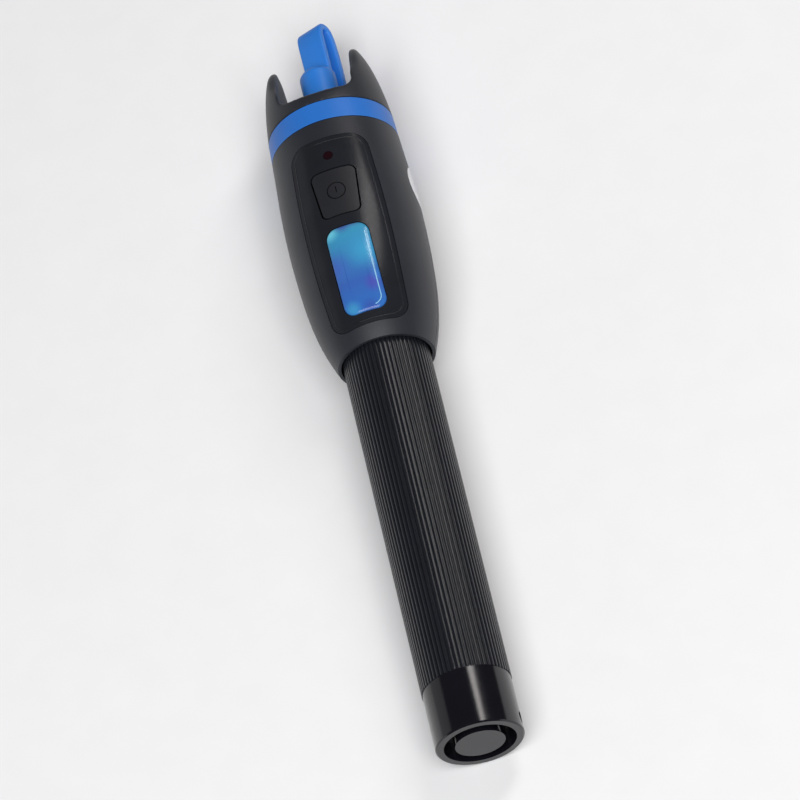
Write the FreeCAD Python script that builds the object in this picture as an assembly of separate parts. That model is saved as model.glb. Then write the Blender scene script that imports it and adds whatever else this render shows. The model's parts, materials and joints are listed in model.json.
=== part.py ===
import FreeCAD, Part
import math
import os
from FreeCAD import Placement, Rotation, Vector

# Pen-type visual fault locator.
# The pen is modelled in its own coordinates, in millimetres: Y runs along its axis from the tail's end
# face to the nose, +Z is the side with the control panel and +X is to the right of it.  A "station" is a
# place along Y.  At the end every piece is laid down as the pen rests on its back.

# ---- battery tube and tail cap ----
CREST_RADIUS = 9.25         # ribs of the tube
RIB_DEPTH = 0.34
RIB_COUNT = 62
RIB_LAND = 0.62             # share of the pitch that is land
TUBE_BORE = 7.45
TUBE_START = 12.75
RIBS_END = 95.0
TUBE_PLAIN_RADIUS = 8.9
LOCK_GROOVE = (107.0, 109.0, 8.5)   # first and last station, bottom radius
CAP_RADIUS = 9.11
CAP_CHAMFER = 0.3
CAP_GROOVE_OUTER = 7.46
CAP_GROOVE_INNER = 5.16
CAP_GROOVE_DEPTH = 4.4
LANYARD_RADIUS = 1.2
LANYARD_STATION = 2.9
NECK_RADIUS = 7.95
NECK_END = 18.2
NECK_BORE = 6.4
NECK_POCKET = 6.2           # station of the pocket's floor
NECK_GROOVE = (13.4, 14.9, 7.3)     # first and last station, bottom radius
SEAL_STATION = 14.15
SEAL_RADIUS, SEAL_WIRE = 7.64, 0.34
THREAD_BORE = 8.05
THREAD_BORE_END = 20.5

# ---- springs: wire, coil radius and number of coils ----
SEAT_START = 6.25           # the seat stays just off the pocket's floor
SEAT_THICK = 0.6
SEAT_STUD_RADIUS, SEAT_STUD_HEIGHT = 2.2, 1.0
TAIL_WIRE, TAIL_COIL, TAIL_COILS, TAIL_TAPER = 0.45, 5.6, 4.0, -9.0
LENS_WIRE, LENS_COIL, LENS_COILS = 0.25, 2.8, 2.0
WIRE_SIDES = 4

# ---- cells: two of AA size, nose to tail ----
CELL_RADIUS = 7.15
CELL_LENGTH = 50.5
CELL_NUB_RADIUS = 2.75
CELL_NUB_HEIGHT = 1.2
CELLS_START = 18.4
CELLS_END = CELLS_START + 2 * CELL_LENGTH
TUBE_END = CELLS_END - 1.0

# ---- barrel: outer half-width of head, ring and nose guard at some stations ----
BARREL = [(90.6, 10.15), (95.0, 11.72), (103.0, 13.5), (113.0, 14.42), (124.0, 14.75),
          (134.0, 14.48), (144.6, 13.92), (149.7, 13.7), (155.0, 13.2), (160.0, 12.42),
          (165.0, 11.15), (168.2, 9.75)]
HEAD_START = 91.2
RING_START = 144.6
RING_END = 149.7
HEAD_WALL = 2.4
HEAD_MOUTH = 9.73
MOUTH_END = 96.0
SEAM = 0.2
SEAM_DEPTH = 0.25
BULKHEADS = [(98.0, 100.0, TUBE_PLAIN_RADIUS), LOCK_GROOVE]

# ---- panel, nameplate, button and lamp ----
PANEL_START, PANEL_END = 94.5, 140.0
PANEL_HALF_TAIL, PANEL_HALF_MID, PANEL_HALF_NOSE = 8.0, 9.05, 8.2
PANEL_CORNER = 3.6
PANEL_DEPTH = 1.3
PANEL_GAP = 0.12
PLATE_START, PLATE_END = 97.0, 117.2
PLATE_HALF = 4.6
PLATE_CORNER = 2.4
PLATE_DEPTH = 0.9
PLATE_GAP = 0.15
BUTTON_START, BUTTON_END = 120.2, 131.5
BUTTON_HALF_TAIL, BUTTON_HALF_NOSE = 3.95, 4.85
BUTTON_CORNER = 1.3
BUTTON_GAP = 0.35
BUTTON_MARK_STATION = 126.1
BUTTON_MARK_RADIUS = 1.95
LAMP_STATION = 135.3
LAMP_RADIUS = 1.0
LAMP_FOOT_RADIUS, LAMP_FOOT_TOP = 1.5, 11.0

# ---- board and what it carries ----
BOARD_LOW, BOARD_TOP = 5.8, 6.8
BOARD_HALF = 9.1
BOARD_START, BOARD_END = 122.2, 142.4
CLIP_ANGLE = -40.0          # the clip reaches the board's end where the tube is as high as the board
SWITCH_HALF = 3.1
SWITCH_TOP = 9.1
PLUNGER_RADIUS = 1.6
PLUNGER_LOW, PLUNGER_TOP = 8.2, 9.9
BUTTON_FLANGE_TOP = 10.6
BUTTON_FLANGE = 0.7
SCREW_PLACES = [(-7.6, 129.0), (7.6, 137.5)]
SCREW_RADIUS = 0.8
BOSS_RADIUS = 1.5
SCREW_TOP = 9.8
CHIP = (4.0, 5.0, 1.5, -7.6, 131.0)         # width, length, height, left side, first station
INDUCTOR = (4.0, 4.0, 2.0, 3.2, 131.2)

# ---- laser and fibre port ----
LASER_START, LASER_END = 127.5, 147.2
LASER_RADIUS = 5.0
LASER_BORE = 3.2
DIODE_FLANGE = (129.3, 130.5, 2.8)
DIODE_END = 133.8
DIODE_CAN_RADIUS = 2.3
LEG_BEND = 126.3
LEG_THICK = 0.46
LEG_PLACES = [(-1.0, 0.0), (1.0, 0.0), (0.0, 1.0)]
SPRING_STEP = 134.0
COOLING_GROOVES = (131.5, 134.5)
LENS_START, LENS_END = 137.0, 139.6
PORT_FLANGE_RADIUS = 6.2
PORT_THREAD_RADIUS = 4.5
PORT_FRONT_RADIUS = 3.0
PORT_FRONT_END = 165.4
PORT_MOUTH_RADIUS = 1.5
LIGHT_BORE_RADIUS = 1.45
FERRULE_RADIUS = 1.25
SLEEVE_RADIUS = 1.62
SLEEVE_SLIT = 0.4
SLEEVE_START, SLEEVE_END = 153.2, 164.6
NUT_START, NUT_END = 152.0, 154.2
NUT_FLATS = 11.0

# ---- nose guard ----
SADDLE_BOTTOM = 152.7       # lowest station of the saddle
SADDLE_HALF = 8.15          # half distance between the horns
SADDLE_RISE = 1.25          # rise of the saddle's floor at its corners
SADDLE_CORNER = 2.8
HORN_TOP = 169.2
HORN_HALF_DEPTH = 9.4       # half width of a horn seen from the side, at its foot

# ---- dust cap ----
DUST_RADIUS = 4.2
DUST_START, DUST_END = 154.7, 167.5
LOOP_TOP = 178.5
LOOP_WIDTH = 4.7
LOOP_DEPTH = 7.0
LOOP_BAND = 1.3
LOOP_TURN = 20.0            # the cap sits turned on its port

# ---- round label ----
LABEL_RADIUS = 5.25
LABEL_STATION = 132.2
LABEL_ANGLE = 97.0
LABEL_THICK = 0.1

# ---- rest: the pen lies on its tail cap's edge and a narrow flat along the back of the head ----
REST_TILT = 2.516

AXIS = Vector(0, 1, 0)
ORIGIN = Vector(0, 0, 0)
UP = Vector(0, 0, 1)
FAR = 40.0                  # longer than any cut needs


# ---- small helpers ----
def rod(radius, start, end):
    return Part.makeCylinder(radius, end - start, Vector(0, start, 0), AXIS)


def tube(outer, inner, start, end):
    return rod(outer, start, end).cut(rod(inner, start - 1, end + 1))


def slab(half_x, start, end, low, high):
    return Part.makeBox(2 * half_x, end - start, high - low, Vector(-half_x, start, low))


def post(radius, x, station, low, high):
    return Part.makeCylinder(radius, high - low, Vector(x, station, low), UP)


def turned(outline):
    """Revolve a closed outline of (radius, station) corners about the pen's axis."""
    corners = [Vector(radius, station, 0) for radius, station in outline]
    face = Part.Face(Part.makePolygon(corners + corners[:1]))
    return face.revolve(ORIGIN, AXIS, 360)


def barrel(offset=0.0, start=BARREL[0][0], end=BARREL[-1][0]):
    """The barrel's smooth body, grown by offset, between two stations."""
    points = [Vector(radius + offset, station, 0) for station, radius in BARREL]
    side = Part.BSplineCurve()
    side.interpolate(points)
    first, last = points[0], points[-1]
    edges = [Part.makeLine(Vector(0, first.y, 0), first), side.toShape(),
             Part.makeLine(last, Vector(0, last.y, 0)),
             Part.makeLine(Vector(0, last.y, 0), Vector(0, first.y, 0))]
    body = Part.Face(Part.Wire(edges)).revolve(ORIGIN, AXIS, 360)
    return body.common(slab(FAR, start, end, -FAR, FAR))


def outline_face(corners):
    points = [Vector(x, station, 0) for x, station in corners]
    return Part.Face(Part.makePolygon(points + points[:1]))


def rounded_column(face, radius, low, high):
    """A column with the outline of face, its upright edges rounded."""
    column = face.extrude(Vector(0, 0, high - low))
    column.translate(Vector(0, 0, low))
    upright = [edge for edge in column.Edges
               if abs(edge.Vertexes[0].Z - edge.Vertexes[-1].Z) > (high - low) / 2]
    return column.makeFillet(radius, upright)


def keep(shape, name):
    """Clean a boolean's result; only the two screws, which share one node, may stay apart."""
    shape = shape.removeSplitter()
    solids = shape.Solids
    if len(solids) != 1 and name != "board_screws":
        print("NOTE", name, "has", len(solids), "solids")
    return solids[0] if len(solids) == 1 else Part.makeCompound(solids)


def round_edges(shape, radius, chosen):
    """Round the edges for which chosen(edge) holds."""
    edges = [edge for edge in shape.Edges if chosen(edge)]
    return shape.makeFillet(radius, edges)


# ---- tail ----
def tail_cap():
    outline = [(0, 0), (CAP_RADIUS - CAP_CHAMFER, 0), (CAP_RADIUS, CAP_CHAMFER),
               (CAP_RADIUS, TUBE_START), (NECK_RADIUS, TUBE_START), (NECK_RADIUS, NECK_END),
               (NECK_BORE, NECK_END), (NECK_BORE, NECK_POCKET), (0, NECK_POCKET)]
    cap = turned(outline)
    cap = cap.cut(tube(CAP_GROOVE_OUTER, CAP_GROOVE_INNER, -1, CAP_GROOVE_DEPTH))
    start, end, radius = NECK_GROOVE
    cap = cap.cut(tube(NECK_RADIUS + 1, radius, start, end))
    hole = Part.makeCylinder(LANYARD_RADIUS, 2 * FAR, Vector(-FAR, LANYARD_STATION, 0), Vector(1, 0, 0))
    return cap.cut(hole)


def o_ring():
    return Part.makeTorus(SEAL_RADIUS, SEAL_WIRE, Vector(0, SEAL_STATION, 0), AXIS)


def spring_seat():
    top = SEAT_START + SEAT_THICK
    seat = rod(NECK_BORE - 0.3, SEAT_START, top)
    return seat.fuse(rod(SEAT_STUD_RADIUS, top, top + SEAT_STUD_HEIGHT))


def coil_spring(low, high, wire, coil, coils, taper=0.0):
    """A coil spring between two stations, its wire drawn with a few flat sides."""
    start, end = low + wire, high - wire
    helix = Part.makeHelix((end - start) / coils, end - start, coil, taper)
    angles = [2 * math.pi * (n + 0.5) / WIRE_SIDES for n in range(WIRE_SIDES)]
    corners = [Vector(coil + wire * math.cos(angle), 0, wire * math.sin(angle)) for angle in angles]
    section = Part.makePolygon(corners + corners[:1])
    spring = Part.Wire(helix).makePipeShell([section], True, True)
    spring.rotate(ORIGIN, Vector(1, 0, 0), -90)
    spring.translate(Vector(0, start, 0))
    return spring


def tail_spring():
    """A tapered battery spring, from its seat to the rear cell."""
    return coil_spring(SEAT_START + SEAT_THICK, CELLS_START, TAIL_WIRE, TAIL_COIL, TAIL_COILS, TAIL_TAPER)


def cell(start):
    can_end = start + CELL_LENGTH - CELL_NUB_HEIGHT
    outline = [(0, start), (CELL_RADIUS - 0.4, start), (CELL_RADIUS, start + 0.4),
               (CELL_RADIUS, can_end - 0.5), (CELL_RADIUS - 0.5, can_end), (CELL_NUB_RADIUS, can_end),
               (CELL_NUB_RADIUS, start + CELL_LENGTH), (0, start + CELL_LENGTH)]
    return turned(outline)


def rib_groove(angle):
    """The space between two ribs, as a long bar with sloping sides."""
    pitch = 2 * math.pi * CREST_RADIUS / RIB_COUNT
    mouth = pitch * (1 - RIB_LAND)
    floor = mouth * 0.55
    bottom = CREST_RADIUS - RIB_DEPTH
    top = CREST_RADIUS + 0.2
    slope = (mouth - floor) / 2 / RIB_DEPTH
    wide = mouth / 2 + 0.2 * slope
    corners = [Vector(-floor / 2, TUBE_START - 1, bottom), Vector(floor / 2, TUBE_START - 1, bottom),
               Vector(wide, TUBE_START - 1, top), Vector(-wide, TUBE_START - 1, top)]
    bar = Part.Face(Part.makePolygon(corners + corners[:1])).extrude(Vector(0, RIBS_END + 1 - TUBE_START, 0))
    bar.rotate(ORIGIN, AXIS, angle)
    return bar


def battery_tube():
    outline = [(THREAD_BORE, TUBE_START), (CREST_RADIUS, TUBE_START), (CREST_RADIUS, RIBS_END),
               (TUBE_PLAIN_RADIUS, RIBS_END), (TUBE_PLAIN_RADIUS, TUBE_END), (TUBE_BORE, TUBE_END),
               (TUBE_BORE, THREAD_BORE_END), (THREAD_BORE, THREAD_BORE_END)]
    body = turned(outline)
    start, end, radius = LOCK_GROOVE
    body = body.cut(tube(TUBE_PLAIN_RADIUS + 1, radius, start, end))
    grooves = [rib_groove(360.0 * n / RIB_COUNT) for n in range(RIB_COUNT)]
    return body.cut(Part.makeCompound(grooves))


# ---- head shells ----
def rest_cut():
    """Everything below the surface that the pen lies on."""
    half_space = Part.makeBox(4 * FAR, 400, FAR, Vector(-2 * FAR, -100, -FAR))
    half_space.rotate(ORIGIN, Vector(1, 0, 0), -REST_TILT)
    half_space.translate(Vector(0, CAP_CHAMFER, -CAP_RADIUS))
    return half_space


def panel_column(grow, low, high):
    """The panel's outline, bowed at its sides, grown by the given amount."""
    middle = 117.0
    tail, nose = PANEL_START - grow, PANEL_END + grow
    half_tail, half_mid, half_nose = (half + grow for half in
                                      (PANEL_HALF_TAIL, PANEL_HALF_MID, PANEL_HALF_NOSE))
    corners = [Vector(-half_tail, tail, 0), Vector(half_tail, tail, 0),
               Vector(half_nose, nose, 0), Vector(-half_nose, nose, 0)]
    right = Part.Arc(corners[1], Vector(half_mid, middle, 0), corners[2]).toShape()
    left = Part.Arc(corners[3], Vector(-half_mid, middle, 0), corners[0]).toShape()
    edges = [Part.makeLine(corners[0], corners[1]), right, Part.makeLine(corners[2], corners[3]), left]
    return rounded_column(Part.Face(Part.Wire(edges)), PANEL_CORNER + grow, low, high)


def button_column(grow, low, high):
    corners = [(-BUTTON_HALF_TAIL - grow, BUTTON_START - grow), (BUTTON_HALF_TAIL + grow, BUTTON_START - grow),
               (BUTTON_HALF_NOSE + grow, BUTTON_END + grow), (-BUTTON_HALF_NOSE - grow, BUTTON_END + grow)]
    return rounded_column(outline_face(corners), BUTTON_CORNER + grow, low, high)


def plate_column(grow, low, high):
    half = PLATE_HALF + grow
    corners = [(-half, PLATE_START - grow), (half, PLATE_START - grow),
               (half, PLATE_END + grow), (-half, PLATE_END + grow)]
    return rounded_column(outline_face(corners), PLATE_CORNER + grow, low, high)


def head_hollow():
    """The space inside the two head shells, with their bulkheads left standing."""
    hollow = barrel(-HEAD_WALL, MOUTH_END, RING_START + 1)
    for start, end, radius in BULKHEADS:
        hollow = hollow.cut(tube(FAR, radius, start, end))
    return hollow.fuse(rod(HEAD_MOUTH, HEAD_START - 5, MOUTH_END))


def shell_body():
    body = barrel(0, HEAD_START, RING_START)
    return body.cut(head_hollow())


def seam_groove():
    """The fine parting line between the two shells."""
    skin = barrel(0.5).cut(barrel(-SEAM_DEPTH))
    return skin.common(slab(FAR, HEAD_START - 1, RING_START + 1, -SEAM / 2, SEAM / 2))


def front_shell(body, seam):
    shell = body.common(slab(FAR, HEAD_START - 1, RING_START + 1, 0, FAR)).cut(seam)
    pocket = panel_column(PANEL_GAP, 0, FAR).cut(barrel(-PANEL_DEPTH))
    shell = shell.cut(pocket)
    for x, station in SCREW_PLACES:
        boss = post(BOSS_RADIUS, x, station, BOARD_TOP, FAR).common(barrel(-HEAD_WALL + 0.2))
        shell = shell.fuse(boss).cut(post(SCREW_RADIUS, x, station, BOARD_TOP - 1, 10.0))
    shell = shell.cut(button_column(BUTTON_GAP, 5, FAR))
    return shell.cut(post(LAMP_RADIUS + 0.2, 0, LAMP_STATION, 5, FAR))


def rear_shell(body, seam):
    shell = body.common(slab(FAR, HEAD_START - 1, RING_START + 1, -FAR, 0)).cut(seam)
    return shell.cut(rest_cut())


def control_panel():
    panel = panel_column(0, 0, FAR).common(barrel(0)).cut(barrel(-PANEL_DEPTH))
    panel = panel.cut(plate_column(PLATE_GAP, 0, FAR).cut(barrel(-PLATE_DEPTH)))
    panel = panel.cut(button_column(BUTTON_GAP, 0, FAR))
    return panel.cut(post(LAMP_RADIUS + 0.08, 0, LAMP_STATION, 0, FAR))


def nameplate():
    return plate_column(0, 0, FAR).common(barrel(0.12)).cut(barrel(-PLATE_DEPTH))


def power_button():
    cap = button_column(0, PLUNGER_TOP, FAR).common(barrel(-0.05))
    flange = button_column(BUTTON_FLANGE, PLUNGER_TOP, BUTTON_FLANGE_TOP)
    ring = post(BUTTON_MARK_RADIUS + 0.12, 0, BUTTON_MARK_STATION, 14.4, FAR)
    ring = ring.cut(post(BUTTON_MARK_RADIUS - 0.12, 0, BUTTON_MARK_STATION, 14.0, FAR))
    return cap.fuse(flange).cut(ring)


def status_led():
    lens = post(LAMP_RADIUS, 0, LAMP_STATION, LAMP_FOOT_TOP, FAR).common(barrel(0.05))
    return lens.fuse(post(LAMP_FOOT_RADIUS, 0, LAMP_STATION, BOARD_TOP, LAMP_FOOT_TOP))


def side_label():
    angle = math.radians(LABEL_ANGLE)
    outward = Vector(math.sin(angle), 0, math.cos(angle))
    punch = Part.makeCylinder(LABEL_RADIUS, FAR, Vector(0, LABEL_STATION, 0), outward)
    return punch.common(barrel(LABEL_THICK)).cut(barrel(0))


# ---- ring and nose guard ----
def accent_ring():
    ring = barrel(0, RING_START, RING_END)
    ring = ring.fuse(rod(11.3, RING_START - 2, RING_START))
    ring = ring.cut(rod(11.5, RING_START + 1.6, RING_END + 1))
    return ring.cut(rod(10.0, RING_START - 3, RING_END + 1))


def saddle_cut():
    """The cut that leaves the two horns: a shallow floor, round corners and upright sides."""
    half, bottom = SADDLE_HALF, SADDLE_BOTTOM
    corner_high = bottom + SADDLE_RISE
    top = HORN_TOP + 5
    left, right = Vector(-half, corner_high, 0), Vector(half, corner_high, 0)
    floor = Part.Arc(left, Vector(0, bottom, 0), right).toShape()
    edges = [floor, Part.makeLine(right, Vector(half, top, 0)),
             Part.makeLine(Vector(half, top, 0), Vector(-half, top, 0)),
             Part.makeLine(Vector(-half, top, 0), left)]
    column = Part.Face(Part.Wire(edges)).extrude(Vector(0, 0, 2 * FAR))
    column.translate(Vector(0, 0, -FAR))
    low = [edge for edge in column.Edges
           if abs(edge.Vertexes[0].Z - edge.Vertexes[-1].Z) > FAR and edge.Vertexes[0].Y < bottom + 3]
    return column.makeFillet(SADDLE_CORNER, low)


def horn_side():
    """What may stand of the guard above its foot, seen from the side: a pointed arch."""
    foot = SADDLE_BOTTOM - 1
    points = [Vector(0, foot, HORN_HALF_DEPTH + 6), Vector(0, 156.0, HORN_HALF_DEPTH + 2),
              Vector(0, 161.0, 7.4), Vector(0, 165.3, 4.9), Vector(0, HORN_TOP, 0)]
    front = Part.BSplineCurve()
    front.interpolate(points)
    mirrored = [Vector(0, point.y, -point.z) for point in reversed(points)]
    back = Part.BSplineCurve()
    back.interpolate(mirrored)
    base = Part.makeLine(mirrored[-1], points[0])
    arch = Part.Face(Part.Wire([front.toShape(), back.toShape(), base])).extrude(Vector(2 * FAR, 0, 0))
    arch.translate(Vector(-FAR, 0, 0))
    return arch


def nose_guard():
    foot = barrel(0, RING_END, SADDLE_BOTTOM)
    horns = barrel(0, SADDLE_BOTTOM - 0.5, BARREL[-1][0]).common(horn_side())
    guard = foot.fuse(horns).cut(saddle_cut())
    guard = guard.fuse(tube(11.4, 9.6, RING_END - 2.8, RING_END))
    guard = guard.cut(rod(PORT_FLANGE_RADIUS + 0.2, NUT_START, HORN_TOP + 5))
    return guard.cut(rod(PORT_THREAD_RADIUS, RING_END - 3, NUT_START + 1))


# ---- fibre port and laser ----
def fibre_port():
    outline = [(LIGHT_BORE_RADIUS, LASER_END), (PORT_FLANGE_RADIUS, LASER_END), (PORT_FLANGE_RADIUS, RING_END),
               (PORT_THREAD_RADIUS, RING_END), (PORT_THREAD_RADIUS, NUT_END), (PORT_FRONT_RADIUS, NUT_END),
               (PORT_FRONT_RADIUS, PORT_FRONT_END - 0.4), (PORT_FRONT_RADIUS - 0.4, PORT_FRONT_END),
               (PORT_MOUTH_RADIUS + 0.2, PORT_FRONT_END), (PORT_MOUTH_RADIUS, PORT_FRONT_END - 0.2),
               (PORT_MOUTH_RADIUS, SLEEVE_END), (SLEEVE_RADIUS + 0.03, SLEEVE_END),
               (SLEEVE_RADIUS + 0.03, SLEEVE_START), (LIGHT_BORE_RADIUS, SLEEVE_START)]
    return turned(outline)


def split_sleeve():
    sleeve = tube(SLEEVE_RADIUS, FERRULE_RADIUS, SLEEVE_START, SLEEVE_END)
    return sleeve.cut(slab(SLEEVE_SLIT / 2, SLEEVE_START - 1, SLEEVE_END + 1, -FAR, 0))


def port_nut():
    across = NUT_FLATS / math.cos(math.pi / 6) / 2
    corners = [Vector(across * math.cos(math.pi / 3 * n), NUT_START, across * math.sin(math.pi / 3 * n))
               for n in range(6)]
    nut = Part.Face(Part.makePolygon(corners + corners[:1])).extrude(Vector(0, NUT_END - NUT_START, 0))
    nut = nut.common(rod(PORT_FLANGE_RADIUS, NUT_START, NUT_END))
    return nut.cut(rod(PORT_THREAD_RADIUS, NUT_START - 1, NUT_END + 1))


def laser_barrel():
    start, end, radius = DIODE_FLANGE
    body = rod(LASER_RADIUS, LASER_START, LASER_END)
    body = body.cut(rod(radius, LASER_START - 1, end)).cut(rod(2.4, LASER_START, SPRING_STEP))
    body = body.cut(rod(LASER_BORE, SPRING_STEP, LENS_END)).cut(rod(2.6, LENS_END - 1, LASER_END + 1))
    for station in COOLING_GROOVES:
        body = body.cut(tube(LASER_RADIUS + 1, LASER_RADIUS - 0.4, station, station + 1.0))
    return body


def diode_leg(x, z):
    """A leg out of the flange's back, bent up to the board."""
    start, half = DIODE_FLANGE[0], LEG_THICK / 2
    corners = [Vector(x - half, start + 0.1, z - half), Vector(x - half, LEG_BEND, z - half),
               Vector(x - half, LEG_BEND, BOARD_LOW), Vector(x - half, LEG_BEND + LEG_THICK, BOARD_LOW),
               Vector(x - half, LEG_BEND + LEG_THICK, z + half), Vector(x - half, start + 0.1, z + half)]
    return Part.Face(Part.makePolygon(corners + corners[:1])).extrude(Vector(LEG_THICK, 0, 0))


def laser_diode():
    start, end, radius = DIODE_FLANGE
    outline = [(0, start), (radius, start), (radius, end), (DIODE_CAN_RADIUS, end),
               (DIODE_CAN_RADIUS, DIODE_END), (0, DIODE_END)]
    diode = turned(outline)
    for x, z in LEG_PLACES:
        diode = diode.fuse(diode_leg(x, z))
    return diode


def focus_lens():
    lens = rod(LASER_BORE - 0.05, LENS_START, LENS_END)
    bulge = Part.makeSphere(5.0, Vector(0, LENS_END - 5.0 + 0.9, 0))
    return lens.fuse(bulge.common(rod(2.4, LENS_END - 1, LENS_END + 2)))


def lens_spring():
    return coil_spring(SPRING_STEP, LENS_START, LENS_WIRE, LENS_COIL, LENS_COILS)


# ---- contacts and board ----
def contact_carrier():
    cup = rod(TUBE_PLAIN_RADIUS, TUBE_END, CELLS_END + 2.4).cut(rod(7.2, TUBE_END - 1, CELLS_END + 0.4))
    return cup.cut(rod(1.05, TUBE_END, CELLS_END + 4))


def plus_contact():
    strip_start = BOARD_START + 0.6
    contact = rod(3.4, CELLS_END, CELLS_END + 0.4).fuse(rod(1.0, CELLS_END, strip_start + 0.4))
    return contact.fuse(slab(1.5, strip_start, strip_start + 0.4, -1.5, BOARD_LOW))


def ground_clip():
    """A leaf along the tube's side, from a small raised lip to the end of the board."""
    low, thick = TUBE_PLAIN_RADIUS, 0.25
    start, end = TUBE_END - 7.0, BOARD_START
    outline = [(start, low + 0.8), (start + 1.4, low), (end, low), (end, low + thick),
               (start + 1.5, low + thick), (start + 0.2, low + 0.8 + thick)]
    points = [Vector(-1.5, station, height) for station, height in outline]
    strip = Part.Face(Part.makePolygon(points + points[:1])).extrude(Vector(3.0, 0, 0))
    strip.rotate(ORIGIN, AXIS, CLIP_ANGLE)
    return strip


def circuit_board():
    board = slab(BOARD_HALF, BOARD_START, BOARD_END, BOARD_LOW, BOARD_TOP)
    for x, station in SCREW_PLACES:
        board = board.cut(post(SCREW_RADIUS + 0.1, x, station, 0, FAR))
    return board


def board_screws():
    screws = []
    for x, station in SCREW_PLACES:
        shank = post(SCREW_RADIUS, x, station, BOARD_LOW - 0.2, SCREW_TOP)
        screws.append(shank.fuse(post(2 * SCREW_RADIUS, x, station, BOARD_LOW - 1.1, BOARD_LOW)))
    return Part.makeCompound(screws)


def board_part(width, length, height, left, start):
    return Part.makeBox(width, length, height, Vector(left, start, BOARD_TOP))


def switch_body():
    body = slab(SWITCH_HALF, BUTTON_MARK_STATION - SWITCH_HALF, BUTTON_MARK_STATION + SWITCH_HALF,
                BOARD_TOP, SWITCH_TOP)
    return body.cut(post(PLUNGER_RADIUS + 0.15, 0, BUTTON_MARK_STATION, BOARD_TOP + 0.4, SWITCH_TOP + 1))


def switch_plunger():
    return post(PLUNGER_RADIUS, 0, BUTTON_MARK_STATION, PLUNGER_LOW, PLUNGER_TOP)


def switch_dome():
    """A thin snap dome under the plunger."""
    rise = PLUNGER_LOW - BOARD_TOP - 0.4
    half = PLUNGER_RADIUS
    radius = (half * half + rise * rise) / (2 * rise)
    centre = Vector(0, BUTTON_MARK_STATION, PLUNGER_LOW - radius)
    dome = Part.makeSphere(radius, centre).cut(Part.makeSphere(radius - 0.12, centre))
    return dome.common(post(half, 0, BUTTON_MARK_STATION, BOARD_TOP + 0.4, FAR))


# ---- dust cap ----
def dust_cap():
    shoulder = 1.4
    body = rod(DUST_RADIUS, DUST_START, DUST_END)
    body = round_edges(body, shoulder, lambda edge: edge.BoundBox.YMin > DUST_END - 0.1)
    body = body.cut(rod(PORT_FRONT_RADIUS + 0.05, DUST_START - 1, PORT_FRONT_END + 0.1))
    return body.fuse(pull_loop())


def pull_loop():
    """A flat band bent into a narrow loop, standing on the cap."""
    half = LOOP_DEPTH / 2
    foot = DUST_END - 1.0
    outer = loop_column(half, LOOP_TOP, foot)
    inner = loop_column(half - LOOP_BAND, LOOP_TOP - LOOP_BAND, DUST_END)
    loop = outer.cut(inner)
    loop.rotate(ORIGIN, AXIS, LOOP_TURN)
    return loop


def loop_column(half, top, foot):
    """One outline of the loop: an upright front, a tight top and a bowed back."""
    front_top = Vector(0, top - half * 0.75, half)
    crown = Vector(0, top, half * 0.25)
    back_top = Vector(0, top - half * 0.9, -half * 0.62)
    back_mid = Vector(0, (top + foot) / 2, -half)
    front_foot, back_foot = Vector(0, foot, half), Vector(0, foot, -half * 0.8)
    edges = [Part.makeLine(front_foot, front_top), Part.Arc(front_top, crown, back_top).toShape(),
             Part.Arc(back_top, back_mid, back_foot).toShape(), Part.makeLine(back_foot, front_foot)]
    column = Part.Face(Part.Wire(edges)).extrude(Vector(LOOP_WIDTH, 0, 0))
    column.translate(Vector(-LOOP_WIDTH / 2, 0, 0))
    return column


def all_pieces():
    body, seam = shell_body(), seam_groove()
    return {
        "tail_cap": tail_cap(), "o_ring": o_ring(), "spring_seat": spring_seat(),
        "tail_spring": tail_spring(), "battery_tube": battery_tube(),
        "battery_rear": cell(CELLS_START), "battery_front": cell(CELLS_START + CELL_LENGTH),
        "contact_carrier": contact_carrier(), "plus_contact": plus_contact(),
        "ground_clip": ground_clip(), "circuit_board": circuit_board(),
        "board_screws": board_screws(), "driver_chip": board_part(*CHIP),
        "power_inductor": board_part(*INDUCTOR), "switch_body": switch_body(),
        "switch_dome": switch_dome(), "switch_plunger": switch_plunger(),
        "power_button": power_button(), "status_led": status_led(),
        "front_shell": front_shell(body, seam), "rear_shell": rear_shell(body, seam),
        "control_panel": control_panel(), "nameplate": nameplate(), "side_label": side_label(),
        "accent_ring": accent_ring(), "nose_guard": nose_guard(),
        "laser_barrel": laser_barrel(), "laser_diode": laser_diode(),
        "focus_lens": focus_lens(), "lens_spring": lens_spring(),
        "fibre_port": fibre_port(), "split_sleeve": split_sleeve(), "port_nut": port_nut(),
        "dust_cap": dust_cap(),
    }


def rest_placement(pieces):
    """Tilt the pen onto its back and put the origin at the bottom centre of its box."""
    tilt = Rotation(Vector(1, 0, 0), REST_TILT)
    ends = Part.makeCompound([pieces["tail_cap"], pieces["dust_cap"]])
    ends.Placement = Placement(ORIGIN, tilt)
    ends_box = ends.optimalBoundingBox(False)
    contact = tilt.multVec(Vector(0, CAP_CHAMFER, -CAP_RADIUS))
    shift = Vector(0, -(ends_box.YMin + ends_box.YMax) / 2, -contact.z)
    print("rest shift", shift)
    return Placement(shift, tilt)


def main():
    os.makedirs("parts", exist_ok=True)
    pieces = all_pieces()
    rest = rest_placement(pieces)
    for name, shape in pieces.items():
        shape = keep(shape, name)
        shape.Placement = rest
        if not shape.isValid():
            print("NOTE", name, "is not valid")
        shape.exportStep("parts/" + name + ".step")


main()
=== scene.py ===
"""Looks of a pen-type visual fault locator: finishes, fine detail, studio and camera.

What Blender gets is in metres, in the part's own frame.  "Pen" coordinates are millimetres along the pen
itself: Y runs from the tail's end face to the nose, +Z points through the control panel and +X is to its
right.  A "station" is a place along Y.
"""
import json
import math
from contextlib import contextmanager

import bmesh
import bpy
from mathutils import Matrix, Vector
from mathutils.bvhtree import BVHTree


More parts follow.
